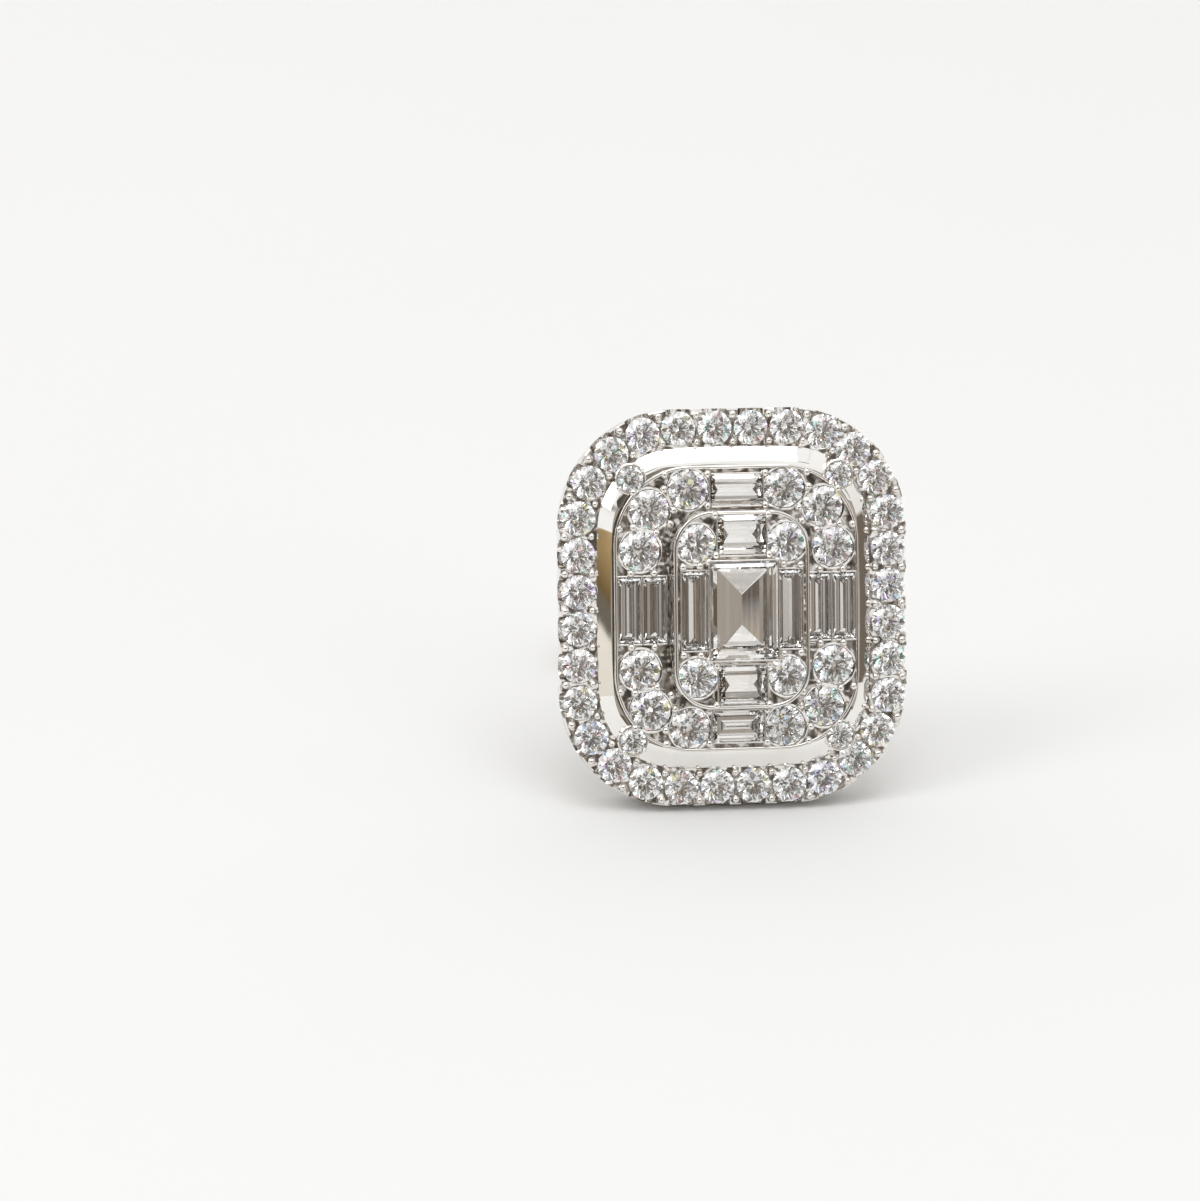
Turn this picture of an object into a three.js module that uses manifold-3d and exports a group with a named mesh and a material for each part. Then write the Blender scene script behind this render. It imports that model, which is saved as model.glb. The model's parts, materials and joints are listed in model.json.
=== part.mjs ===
// A halo cluster stud earring, in millimetres with +Z up, standing as it does unworn:
// on the lower edge of its halo and on the rim of its push-on back.
//
// Pieces are made in the face's own frame, where X runs right, Y runs up the face and Z
// points out of it. Z is 0 at the top of the halo frame. The last group leans the face back.
import * as THREE from "three";
import { ConvexGeometry } from "three/addons/geometries/ConvexGeometry.js";
import { mergeVertices } from "three/addons/utils/BufferGeometryUtils.js";
import Module from "manifold-3d";

// ---- Driving dimensions -------------------------------------------------------------

// Outlines are rounded rectangles, seen square on to the face.
const HALO = { width: 10.0, height: 11.2, corner: 3.35 };
const OUTER_TIER = { width: 7.04, height: 8.06, corner: 2.2, edge: 0.03 };
const INNER_TIER = { width: 3.86, height: 5.55, corner: 1.1, edge: 0.03, drop: 0.1, flare: 0.05 };
const CORNER_STEPS = 6;

// The halo frame: a plate with a tapered wall, and a channel that takes the paving.
const FRAME = { back: -1.2, shoulder: -0.35, backInset: 0.2 };
const BAND_WIDTH = 1.07;
const PAVE = { count: 32, inset: 0.53, halfWidth: 0.4, depth: 0.35, stone: 0.99, lift: 0.035 };
const PAVE_CROWN = { table: 0.28, height: 0.17, foot: 0.35, root: 0.02 };

// Levels of the metal under the stones.
const GROOVE_FLOOR = -0.05;
const SKIRT = { top: 0.26, footInset: 0.04 };
const OUTER_LEVEL = 0.42;
const INNER_LEVEL = 1.08;
const CENTRE_LEVEL = 1.28;
const BRIDGE_LEVEL = 0.28;
// How far a piece reaches into the metal below it, so that the two are soldered.
const SOLDER = 0.05;

// The back: a shallow recess on each side of an upright bar that carries the post.
const RECESS = { rim: 0.85, depth: 0.6 };
const BAR = { width: 2.4, endGap: 0.5 };
const POST = { radius: 0.45, length: 11.0, tip: 0.25 };
const NOTCH = { from: 0.9, to: 1.4, depth: 0.07, ramp: 0.1 };
const PAD = { radius: 1.1, height: 0.25, root: 0.3, fillet: 0.15, edge: 0.1 };
const CLUTCH = { radius: 2.8, disc: 0.5, front: -8.5, barrel: 1.3, barrelLength: 2.6, hole: 0.5 };
const CLUTCH_EDGES = { rim: 0.12, end: 0.3, neck: 0.15 };
const ROUND_STEPS = 32;

// Clear space round a stone in its seat.
const SEAT_GAP = 0.03;
// A cut that is open upwards ends this far above its level.
const SHAFT = 1;
const PRONG = { radius: 0.12, tip: 0.07, shoulder: 0.14, height: 0.24, root: 0.3, sides: 6 };
// Two stones' shared prongs stand this far off the line between them.
const PRONG_REACH = 0.36;
// The other prongs of one quarter of the face.
const BAR_PRONGS = [{ x: 0.81, y: 3.81 }, { x: 0.81, y: 2.87 }];
const INNER_PRONGS = [{ x: 0.86, y: 1.47 }, { x: 1.63, y: 1.29 }, { x: 0.79, y: 2.62 }];
const BRIDGE = { x: 2.99, y: 3.69, size: 0.75, cup: 0.47, sides: 12 };

// Proportions of a round brilliant, as shares of its diameter.
const BRILLIANT = { table: 0.57, crown: 0.148, girdle: 0.03, pavilion: 0.431, star: 0.39, lower: 0.11 };
// A step cut's steps, as shares of its narrow side, and its keel.
const STEP = { crown: 0.13, table: 0.15, girdle: 0.04, pavilion: 0.42 };
const KNEE = { width: 0.55, depth: 0.62, keel: 0.2, seat: 0.4 };

const CENTRE_STONE = { width: 1.95, height: 2.8 };
const FLANK = { x: 1.375, width: 0.72, height: 2.25 };
const SIDES = { xs: [2.36, 3.08], width: 0.68, height: 1.9 };
const BARS = [
  { name: "inner", y: 2.12, width: 1.4, height: 1.16, level: INNER_LEVEL },
  { name: "outer", y: 3.34, width: 1.52, height: 0.9, level: OUTER_LEVEL },
];
const INNER_ROUND = { x: 1.3, y: 1.89, size: 1.12 };
const OUTER_ROUNDS = [
  { x: 1.38, y: 3.37, size: 1.16 },
  { x: 2.5, y: 2.83, size: 1.16 },
  { x: 2.78, y: 1.68, size: 1.16 },
];

const FOUR = [
  { name: "upper_right", sx: 1, sy: 1 },
  { name: "upper_left", sx: -1, sy: 1 },
  { name: "lower_left", sx: -1, sy: -1 },
  { name: "lower_right", sx: 1, sy: -1 },
];

// ---- Finishes -----------------------------------------------------------------------

function finish(color, roughness, metalness) {
  return new THREE.MeshStandardMaterial({ color, roughness, metalness });
}

const whiteGold = () => finish(0xdedbd4, 0.16, 1);
const clearStone = () => finish(0xeef1f4, 0.03, 0);

// ---- Solids -------------------------------------------------------------------------

const wasm = await Module();
wasm.setup();

function solidOf(geometry) {
  const bare = geometry.clone();
  bare.deleteAttribute("normal");
  bare.deleteAttribute("uv");
  const merged = mergeVertices(bare, 1e-4);
  return new wasm.Manifold(
    new wasm.Mesh({
      numProp: 3,
      vertProperties: merged.attributes.position.array,
      triVerts: new Uint32Array(merged.index.array),
    }),
  );
}

function geometryOf(manifold) {
  const mesh = manifold.getMesh();
  const geometry = new THREE.BufferGeometry();
  geometry.setAttribute("position", new THREE.BufferAttribute(mesh.vertProperties, 3));
  geometry.setIndex(new THREE.BufferAttribute(mesh.triVerts, 1));
  return geometry;
}

const hull = (points) => new ConvexGeometry(points);

function joined(solids) {
  return solids.reduce((sum, next) => sum.add(next));
}

// ---- Outlines -----------------------------------------------------------------------

// A rounded rectangle as a closed three.js shape, pulled in by inset.
function outline({ width, height, corner }, inset = 0) {
  const x = width / 2 - inset;
  const y = height / 2 - inset;
  const r = corner - inset;
  const shape = new THREE.Shape();
  shape.absarc(x - r, y - r, r, 0, Math.PI / 2, false);
  shape.absarc(r - x, y - r, r, Math.PI / 2, Math.PI, false);
  shape.absarc(r - x, r - y, r, Math.PI, 1.5 * Math.PI, false);
  shape.absarc(x - r, r - y, r, 1.5 * Math.PI, 2 * Math.PI, false);
  shape.closePath();
  return shape;
}

// The outline's points at one level.
function level(size, inset, z) {
  return outline(size, inset)
    .getPoints(CORNER_STEPS)
    .map((p) => new THREE.Vector3(p.x, p.y, z));
}

// A solid whose walls run straight between the outlines of its levels.
function stack(size, levels) {
  return solidOf(hull(levels.flatMap(([inset, z]) => level(size, inset, z))));
}

function ring(count, radius, z, turn = 0) {
  return Array.from({ length: count }, (_, k) => {
    const a = turn + (k * 2 * Math.PI) / count;
    return new THREE.Vector3(radius * Math.cos(a), radius * Math.sin(a), z);
  });
}

function rectangle(width, height, z) {
  const x = width / 2;
  const y = height / 2;
  return [[x, y], [-x, y], [-x, -y], [x, -y]].map(([px, py]) => new THREE.Vector3(px, py, z));
}

const shifted = (points, x, y, z) => points.map((p) => p.clone().add(new THREE.Vector3(x, y, z)));

// ---- Stones, each about its own girdle ----------------------------------------------

// A round brilliant: table, stars, kites, girdle, lower halves and mains.
function brilliant(size) {
  const r = size / 2;
  const half = Math.PI / 8;
  const table = BRILLIANT.table * r;
  const crown = BRILLIANT.crown * size;
  const girdle = BRILLIANT.girdle * size;
  const pavilion = BRILLIANT.pavilion * size;
  const star = BRILLIANT.star * size;
  const lower = BRILLIANT.lower * size;
  const starHeight = (crown * (r - star * Math.cos(half))) / (r - table);
  const lowerDepth = pavilion * (1 - (lower * Math.cos(half)) / r);
  return [
    ...ring(8, table, crown),
    ...ring(8, star, starHeight, half),
    ...ring(16, r, 0),
    ...ring(16, r, -girdle),
    ...ring(8, lower, -girdle - lowerDepth, half),
    new THREE.Vector3(0, 0, -girdle - pavilion),
  ];
}

// The room a brilliant needs: its cone and an open shaft above it.
function roundSeat(size) {
  const r = size / 2 + SEAT_GAP;
  const girdle = BRILLIANT.girdle * size;
  return [
    ...ring(16, r, SHAFT),
    ...ring(16, r, -girdle - SEAT_GAP),
    new THREE.Vector3(0, 0, -girdle - BRILLIANT.pavilion * size - 2 * SEAT_GAP),
  ];
}

// A step cut on a rectangle: table, crown step, girdle, knee and keel along the long side.
function stepCut(width, height) {
  const narrow = Math.min(width, height);
  const girdle = STEP.girdle * narrow;
  const pavilion = STEP.pavilion * narrow;
  const inset = 2 * STEP.table * narrow;
  const knee = (1 - KNEE.width) * narrow;
  const kneeZ = -girdle - KNEE.depth * pavilion;
  const keel = Math.max(Math.abs(width - height), KNEE.keel * narrow) / 2;
  const along = width > height ? [keel, 0] : [0, keel];
  return [
    ...rectangle(width - inset, height - inset, STEP.crown * narrow),
    ...rectangle(width, height, 0),
    ...rectangle(width, height, -girdle),
    ...rectangle(width - knee, height - knee, kneeZ),
    new THREE.Vector3(along[0], along[1], -girdle - pavilion),
    new THREE.Vector3(-along[0], -along[1], -girdle - pavilion),
  ];
}

function stepSeat(width, height) {
  const narrow = Math.min(width, height);
  const girdle = STEP.girdle * narrow;
  const floor = -girdle - STEP.pavilion * narrow - 2 * SEAT_GAP;
  const foot = KNEE.seat * narrow;
  return [
    ...rectangle(width + 2 * SEAT_GAP, height + 2 * SEAT_GAP, SHAFT),
    ...rectangle(width + 2 * SEAT_GAP, height + 2 * SEAT_GAP, -girdle - SEAT_GAP),
    ...rectangle(width - foot, height - foot, floor),
  ];
}

// ---- Where each stone sits ----------------------------------------------------------

const rounds = [];
const steps = [];
steps.push({ name: "centre_stone", x: 0, y: 0, ...CENTRE_STONE, z: CENTRE_LEVEL });
for (const [side, sx] of [["left", -1], ["right", 1]]) {
  steps.push({ name: `flank_${side}`, ...FLANK, x: sx * FLANK.x, y: 0, z: INNER_LEVEL });
  SIDES.xs.forEach((x, k) => {
    steps.push({ name: `side_${side}_${k + 1}`, ...SIDES, x: sx * x, y: 0, z: OUTER_LEVEL });
  });
}
for (const [place, sy] of [["upper", 1], ["lower", -1]]) {
  for (const bar of BARS) {
    steps.push({ ...bar, name: `bar_${place}_${bar.name}`, x: 0, y: sy * bar.y, z: bar.level });
  }
}
for (const { name, sx, sy } of FOUR) {
  const put = (title, { x, y, size }, z) => {
    rounds.push({ name: `${title}_${name}`, x: sx * x, y: sy * y, size, z });
  };
  put("inner_round", INNER_ROUND, INNER_LEVEL);
  OUTER_ROUNDS.forEach((stone, k) => put(`outer_round_${k + 1}`, stone, OUTER_LEVEL));
  put("bridge_stone", BRIDGE, BRIDGE_LEVEL);
}

// ---- Prongs -------------------------------------------------------------------------

// Two prongs beside the line between two stones, one on each side of it.
function sharedProngs(a, b) {
  const dx = b.x - a.x;
  const dy = b.y - a.y;
  const span = Math.hypot(dx, dy);
  return [-1, 1].map((side) => ({
    x: (a.x + b.x) / 2 - (side * PRONG_REACH * dy) / span,
    y: (a.y + b.y) / 2 + (side * PRONG_REACH * dx) / span,
  }));
}

function prongPlaces() {
  const [nearBar, corner, nearSide] = OUTER_ROUNDS;
  const outer = [...sharedProngs(nearBar, corner), ...sharedProngs(corner, nearSide), ...BAR_PRONGS];
  return [
    ...outer.map((p) => ({ ...p, z: OUTER_LEVEL })),
    ...INNER_PRONGS.map((p) => ({ ...p, z: INNER_LEVEL })),
  ];
}

function prong({ x, y, z }) {
  const points = [
    ...ring(PRONG.sides, PRONG.radius, -PRONG.root),
    ...ring(PRONG.sides, PRONG.radius, PRONG.shoulder),
    ...ring(PRONG.sides, PRONG.tip, PRONG.height),
  ];
  return solidOf(hull(shifted(points, x, y, z)));
}

// ---- The setting --------------------------------------------------------------------

// The halo frame with its paving channel and the groove inside it.
function haloFrame() {
  const plate = stack(HALO, [[FRAME.backInset, FRAME.back], [0, FRAME.shoulder], [0, 0]]);
  const floor = -PAVE.depth - SEAT_GAP;
  const outerWall = PAVE.inset - PAVE.halfWidth - SEAT_GAP;
  const innerWall = PAVE.inset + PAVE.halfWidth + SEAT_GAP;
  const channel = stack(HALO, [[outerWall, floor], [outerWall, SHAFT]]).subtract(
    stack(HALO, [[innerWall, floor - SHAFT], [innerWall, 2 * SHAFT]]),
  );
  const groove = stack(HALO, [[BAND_WIDTH, GROOVE_FLOOR], [BAND_WIDTH, SHAFT]]);
  return plate.subtract(channel).subtract(groove);
}

// The raised middle: a polished skirt, the outer tier, the inner tier and the centre's boss.
function tiers() {
  const foot = level(HALO, BAND_WIDTH + SKIRT.footInset, GROOVE_FLOOR - SOLDER);
  const shoulder = level(OUTER_TIER, 0, SKIRT.top);
  const outer = solidOf(hull([...foot, ...shoulder, ...level(OUTER_TIER, OUTER_TIER.edge, OUTER_LEVEL)]));
  const { flare, drop, edge } = INNER_TIER;
  const inner = stack(INNER_TIER, [[-flare, 0], [0, INNER_LEVEL - drop], [edge, INNER_LEVEL]]);
  const { width, height } = CENTRE_STONE;
  const sill = rectangle(width, height, OUTER_LEVEL);
  const boss = solidOf(hull([...sill, ...rectangle(width, height, CENTRE_LEVEL)]));
  return joined([outer, inner, boss]);
}

// A cup at each corner of the groove, between two levels.
function cups(radius, low, high) {
  const points = [...ring(BRIDGE.sides, radius, low), ...ring(BRIDGE.sides, radius, high)];
  return FOUR.map(({ sx, sy }) => solidOf(hull(shifted(points, sx * BRIDGE.x, sy * BRIDGE.y, 0))));
}

function bridges() {
  return cups(BRIDGE.cup, GROOVE_FLOOR - SOLDER, BRIDGE_LEVEL);
}

// Cuts a recess into the back and puts the bar that carries the post across it.
function withBack(body) {
  const { back } = FRAME;
  const floor = back + RECESS.depth;
  const recess = stack(HALO, [[RECESS.rim, back - SHAFT], [RECESS.rim, floor]]);
  const barHeight = HALO.height - 2 * (FRAME.backInset + BAR.endGap);
  const barDepth = RECESS.depth + SOLDER;
  const bar = new THREE.BoxGeometry(BAR.width, barHeight, barDepth).translate(0, 0, back + barDepth / 2);
  return body.subtract(recess).add(solidOf(bar)).add(post());
}

// A turned shape along the face's own normal, from radius and z pairs.
function turned(profile) {
  const lathe = new THREE.LatheGeometry(
    profile.map(([r, z]) => new THREE.Vector2(r, z)),
    ROUND_STEPS,
    Math.PI / ROUND_STEPS,
  );
  return solidOf(lathe.rotateX(Math.PI / 2));
}

// The post with its friction notch near the end, and the round pad that it is soldered on.
function post() {
  const { radius, length, tip } = POST;
  const end = FRAME.back - length;
  const face = FRAME.back - PAD.height;
  return turned([
    [0, end],
    [tip, end],
    [radius, end + tip],
    [radius, end + NOTCH.from],
    [radius - NOTCH.depth, end + NOTCH.from + NOTCH.ramp],
    [radius - NOTCH.depth, end + NOTCH.to - NOTCH.ramp],
    [radius, end + NOTCH.to],
    [radius, face - PAD.fillet],
    [radius + PAD.fillet, face],
    [PAD.radius - PAD.edge, face],
    [PAD.radius, face + PAD.edge],
    [PAD.radius, FRAME.back + PAD.root],
    [0, FRAME.back + PAD.root],
  ]);
}

// The room above the halo's rims that the paving's crowns need beside the bridges.
function crownRoom() {
  const { inset, stone, lift } = PAVE;
  const reach = stone / 2 + SEAT_GAP;
  const floor = lift - SEAT_GAP;
  return stack(HALO, [[inset - reach, floor], [inset - reach, SHAFT]]).subtract(
    stack(HALO, [[inset + reach, floor - SHAFT], [inset + reach, 2 * SHAFT]]),
  );
}

// All the soldered metal, with a seat cut for each stone.
function setting() {
  const body = joined([haloFrame(), tiers(), ...bridges()]);
  const prongs = FOUR.flatMap(({ sx, sy }) =>
    prongPlaces().map(({ x, y, z }) => prong({ x: sx * x, y: sy * y, z })),
  );
  const seats = [
    ...rounds.map(({ size, x, y, z }) => shifted(roundSeat(size), x, y, z)),
    ...steps.map(({ width, height, x, y, z }) => shifted(stepSeat(width, height), x, y, z)),
  ];
  const metal = joined([withBack(body), ...prongs]).subtract(crownRoom());
  return geometryOf(seats.reduce((rest, seat) => rest.subtract(solidOf(hull(seat))), metal));
}

// ---- The other pieces ---------------------------------------------------------------

// The paving: a band in the halo's channel with the crowns of its stones on it, clear of the cups.
function halo() {
  const { inset, halfWidth, depth, count, stone, lift } = PAVE;
  const band = stack(HALO, [[inset - halfWidth, -depth], [inset - halfWidth, 0]]).subtract(
    stack(HALO, [[inset + halfWidth, -SHAFT], [inset + halfWidth, SHAFT]]),
  );
  const path = outline(HALO, inset);
  const crowns = Array.from({ length: count }, (_, k) => {
    const at = path.getPointAt((k + 0.5) / count);
    const points = [
      ...ring(8, PAVE_CROWN.foot, -PAVE_CROWN.root),
      ...ring(8, stone / 2, lift),
      ...ring(8, PAVE_CROWN.table * stone, PAVE_CROWN.height),
    ];
    return solidOf(hull(shifted(points, at.x, at.y, 0)));
  });
  const room = joined(cups(BRIDGE.cup + SEAT_GAP, -SHAFT, SHAFT));
  return geometryOf(joined([band, ...crowns]).subtract(room));
}

// The push-on back: a disc towards the ear and a barrel behind it, with a hole for the post.
function frictionBack() {
  const { radius, disc, front, barrel, barrelLength, hole } = CLUTCH;
  const rim = radius / Math.cos(Math.PI / ROUND_STEPS);
  const back = front - disc;
  const end = back - barrelLength;
  return geometryOf(
    turned([
      [hole, end],
      [barrel - CLUTCH_EDGES.end, end],
      [barrel, end + CLUTCH_EDGES.end],
      [barrel, back - CLUTCH_EDGES.neck],
      [barrel + CLUTCH_EDGES.neck, back],
      [rim, back],
      [rim, front - CLUTCH_EDGES.rim],
      [rim - CLUTCH_EDGES.rim, front],
      [hole, front],
      [hole, end],
    ]),
  );
}

// ---- Assembly -----------------------------------------------------------------------

const earring = new THREE.Group();

function add(name, geometry, material) {
  const mesh = new THREE.Mesh(geometry, material);
  mesh.name = name;
  earring.add(mesh);
}

add("setting", setting(), whiteGold());
add("friction_back", frictionBack(), whiteGold());
add("halo_pave", halo(), clearStone());
for (const { name, size, x, y, z } of rounds) {
  add(name, hull(shifted(brilliant(size), x, y, z)), clearStone());
}
for (const { name, width, height, x, y, z } of steps) {
  add(name, hull(shifted(stepCut(width, height), x, y, z)), clearStone());
}

// The face leans back until the halo's lower back edge and the disc's rim stand on one level.
const edgeDrop = HALO.height / 2 - FRAME.backInset;
const lean = Math.atan2(edgeDrop - CLUTCH.radius, FRAME.back - (CLUTCH.front - CLUTCH.disc));
earring.rotation.x = Math.PI / 2 - lean;

// The origin is on that level, under the middle of the whole.
const box = new THREE.Box3().setFromObject(earring, true);
earring.position.set(0, -(box.min.y + box.max.y) / 2, -box.min.z);

const group = new THREE.Group();
group.add(earring);

export default group;
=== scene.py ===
"""The looks of a halo cluster stud earring that stands unworn on its halo's edge and its push-on back.

Pieces are modelled in the earring's own frame, in millimetres: X runs to the right, Y up the face
and Z out of it, with 0 at the top of the halo's metal. Face.place turns each finished one into the
row's frame, in metres, so that its object sits at the origin, unturned and unscaled.
"""

import json
import logging
import math
import random
from contextlib import contextmanager
from dataclasses import dataclass, field
from enum import Enum
from typing import Callable, Iterator, Sequence

import bmesh
import bpy
from mathutils import Euler, Matrix, Quaternion, Vector


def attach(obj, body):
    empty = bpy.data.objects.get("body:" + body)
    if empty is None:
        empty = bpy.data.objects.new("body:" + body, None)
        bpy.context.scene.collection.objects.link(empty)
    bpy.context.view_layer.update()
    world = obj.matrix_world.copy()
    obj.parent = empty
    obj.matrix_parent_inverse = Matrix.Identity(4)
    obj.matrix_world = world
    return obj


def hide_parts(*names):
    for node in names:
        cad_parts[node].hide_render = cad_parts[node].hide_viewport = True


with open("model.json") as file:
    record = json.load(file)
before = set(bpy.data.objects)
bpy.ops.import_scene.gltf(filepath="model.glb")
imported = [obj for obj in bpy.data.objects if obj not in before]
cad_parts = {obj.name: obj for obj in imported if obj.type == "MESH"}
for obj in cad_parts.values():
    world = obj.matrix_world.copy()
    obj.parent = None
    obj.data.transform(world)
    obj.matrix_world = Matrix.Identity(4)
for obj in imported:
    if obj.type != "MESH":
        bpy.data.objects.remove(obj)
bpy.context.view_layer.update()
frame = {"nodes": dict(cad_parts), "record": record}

log = logging.getLogger("earring")

MM = 0.001
BODY = "root"
SEED = 41

Point = tuple[float, float]
Colour = tuple[float, float, float, float]
Stops = tuple[tuple[float, Colour], ...]

WHITE: Colour = (1.0, 1.0, 1.0, 1)


# ---- The earring's own frame --------------------------------------------------------


@dataclass(frozen=True)
class Plan:
    """A rounded rectangle, seen square on to the face, in millimetres."""

    width: float
    height: float
    corner: float

    def inset(self, by: float) -> "Plan":
        """The same outline pulled in by a distance."""
        return Plan(self.width - 2 * by, self.height - 2 * by, self.corner - by)

    def walk(self, share: float) -> tuple[float, float, float]:
        """A place on the outline.

        Args:
            share: how far round it is, from 0 to 1, starting at the middle of the right side
                and going up.

        Returns:
            The place's X and Y, and the direction that faces outwards there, in radians.
        """
        flat_x = self.width / 2 - self.corner
        flat_y = self.height / 2 - self.corner
        arc = self.corner * math.pi / 2
        stretches = [flat_y, arc, 2 * flat_x, arc, 2 * flat_y, arc, 2 * flat_x, arc, flat_y]
        left = (share % 1.0) * sum(stretches)
        turn = 0.0
        at = Vector((self.width / 2, 0.0))
        for index, length in enumerate(stretches):
            part = min(left, length)
            along = Vector((-math.sin(turn), math.cos(turn)))
            out = Vector((math.cos(turn), math.sin(turn)))
            if index % 2 == 0:
                at = at + along * part
            else:
                angle = part / self.corner
                at = at + along * self.corner * math.sin(angle) - out * self.corner * (1 - math.cos(angle))
                turn += angle
            left -= part
            if left <= 0:
                break
        return at.x, at.y, turn


@dataclass(frozen=True)
class Face:
    """The earring's own frame and its place in the row's frame."""

    to_row: Matrix

    # Where the mount lobe_face lies in the earring's own frame.
    MOUNT = "lobe_face"
    MOUNT_AT = Vector((0.0, 3.0, -1.2))

    @classmethod
    def from_record(cls, record: dict) -> "Face":
        """The frame that the record's mount on the back of the face gives.

        Args:
            record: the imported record.

        Returns:
            The face, with its matrix from its millimetres to the row's metres.
        """
        mount = next(m for m in record["mounts"] if m["name"] == cls.MOUNT)
        out = -Vector(mount["axis"]).normalized()
        right = Vector((1.0, 0.0, 0.0))
        axes = Matrix((right, out.cross(right), out)).transposed()
        origin = Vector(mount["pos_m"]) - axes @ (cls.MOUNT_AT * MM)
        return cls(Matrix.Translation(origin) @ axes.to_4x4() @ Matrix.Scale(MM, 4))

    def extent(self, node: str) -> tuple[Vector, Vector]:
        """The lowest and highest corners of a CAD node in the earring's own frame."""
        back = self.to_row.inverted()
        places = [back @ v.co for v in frame["nodes"][node].data.vertices]
        low = Vector([min(p[i] for p in places) for i in range(3)])
        high = Vector([max(p[i] for p in places) for i in range(3)])
        return low, high

    def place(self, piece: bpy.types.Object) -> None:
        """Puts a piece modelled in millimetres into the row's frame, in its mesh."""
        piece.data.transform(self.to_row @ piece.matrix_world)
        piece.matrix_world = Matrix.Identity(4)
        piece.data.update()


# ---- The bench: selection by place, and Blender's own operators ----------------------


class Part(Enum):
    """What an edit-mode operator acts on."""

    FACE = "FACE"
    EDGE = "EDGE"
    VERT = "VERT"


class Bench:
    """Blender's modelling operators, with what they act on picked in code."""

    CORNER_STEPS = 20
    CLOSE = 1e-4

    @staticmethod
    def only(*pieces: bpy.types.Object) -> None:
        """Selects these pieces alone, the first of them active."""
        bpy.ops.object.select_all(action="DESELECT")
        for piece in pieces:
            piece.select_set(True)
        bpy.context.view_layer.objects.active = pieces[0]

    @staticmethod
    @contextmanager
    def editing(piece: bpy.types.Object) -> Iterator[None]:
        """Edit mode on one piece, with nothing in it selected."""
        Bench.only(piece)
        bpy.ops.object.mode_set(mode="EDIT")
        bpy.ops.mesh.select_all(action="DESELECT")
        yield
        bpy.ops.object.mode_set(mode="OBJECT")

    @staticmethod
    def pick(piece: bpy.types.Object, kind: Part, test: Callable[[object], bool]) -> None:
        """Selects the faces, edges or corners of the piece in edit mode that pass a test."""
        bpy.ops.mesh.select_mode(type=kind.value)
        bpy.ops.mesh.select_all(action="DESELECT")
        shape = bmesh.from_edit_mesh(piece.data)
        for part in {Part.FACE: shape.faces, Part.EDGE: shape.edges, Part.VERT: shape.verts}[kind]:
            if test(part):
                part.select_set(True)
        bmesh.update_edit_mesh(piece.data)

    @staticmethod
    def named(name: str) -> bpy.types.Object:
        """The primitive just added, named, with its place and size in its mesh."""
        piece = bpy.context.object
        piece.name = piece.data.name = name
        bpy.ops.object.transform_apply(location=True, rotation=True, scale=True)
        return piece

    @classmethod
    def block(cls, name: str, plan: Plan, low: float, high: float) -> bpy.types.Object:
        """A prism on a rounded rectangle: a cube with its upright edges bevelled.

        Args:
            name: the new object's name.
            plan: its outline.
            low: the level of its underside.
            high: the level of its top.

        Returns:
            The new object.
        """
        bpy.ops.object.select_all(action="DESELECT")
        size = (plan.width, plan.height, high - low)
        bpy.ops.mesh.primitive_cube_add(size=1, location=(0, 0, (low + high) / 2), scale=size)
        piece = cls.named(name)
        with cls.editing(piece):
            cls.pick(piece, Part.EDGE, lambda e: (e.verts[0].co - e.verts[1].co).xy.length < cls.CLOSE)
            steps = cls.CORNER_STEPS if plan.corner > 0.3 else 4
            bpy.ops.mesh.bevel(offset=plan.corner, segments=steps, profile=0.5, affect="EDGES")
        return piece

    @classmethod
    def bow(cls, piece: bpy.types.Object, plan: Plan, by: float, cuts: int = 9) -> None:
        """Bows a block's flat sides outwards.

        Args:
            piece: the block.
            plan: its outline.
            by: how far the middle of a side moves out.
            cuts: how many places along a side move.
        """
        halves = (plan.width / 2, plan.height / 2)
        with cls.editing(piece):
            square = 0.9999
            cls.pick(piece, Part.FACE, lambda f: max(abs(f.normal.x), abs(f.normal.y)) > square)
            bpy.ops.mesh.subdivide(number_cuts=cuts)
            for across in (0, 1):
                reach = halves[1 - across] - plan.corner
                for k in range(1, cuts + 1):
                    share = 2 * k / (cuts + 1) - 1
                    for side in (1, -1):
                        spot = (side * halves[across], share * reach)
                        cls.pick(
                            piece,
                            Part.VERT,
                            lambda v: abs(v.co[across] - spot[0]) < cls.CLOSE
                            and abs(v.co[1 - across] - spot[1]) < cls.CLOSE,
                        )
                        move = [0.0, 0.0, 0.0]
                        move[across] = side * by * (1 - share * share)
                        bpy.ops.transform.translate(value=move)

    @classmethod
    def terrace(cls, piece: bpy.types.Object, up: bool, moves: Sequence[Point]) -> None:
        """Steps a piece's top or underside: insets it again and again.

        Args:
            piece: the piece.
            up: whether to work on the top or the underside.
            moves: for each step, how far in and how far out along the face's normal.
        """
        sign = 1 if up else -1
        end = max(sign * v.co.z for v in piece.data.vertices)
        with cls.editing(piece):
            cls.pick(
                piece,
                Part.FACE,
                lambda f: sign * f.normal.z > 0.9 and sign * f.calc_center_median().z > end - cls.CLOSE,
            )
            for inwards, outwards in moves:
                if inwards:
                    bpy.ops.mesh.inset(thickness=inwards, depth=outwards, use_even_offset=True)
                else:
                    step = {"value": (0, 0, sign * outwards)}
                    bpy.ops.mesh.extrude_region_move(TRANSFORM_OT_translate=step)

    @classmethod
    def draw_in(cls, piece: bpy.types.Object, share: float) -> None:
        """Draws a piece's top face in towards the middle, above and below.

        Args:
            piece: the piece.
            share: what is left of the face's height.
        """
        end = max(v.co.z for v in piece.data.vertices)
        with cls.editing(piece):
            cls.pick(piece, Part.VERT, lambda v: v.co.z > end - cls.CLOSE)
            bpy.ops.transform.resize(value=(1, share, 1), center_override=(0, 0, 0))

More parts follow.
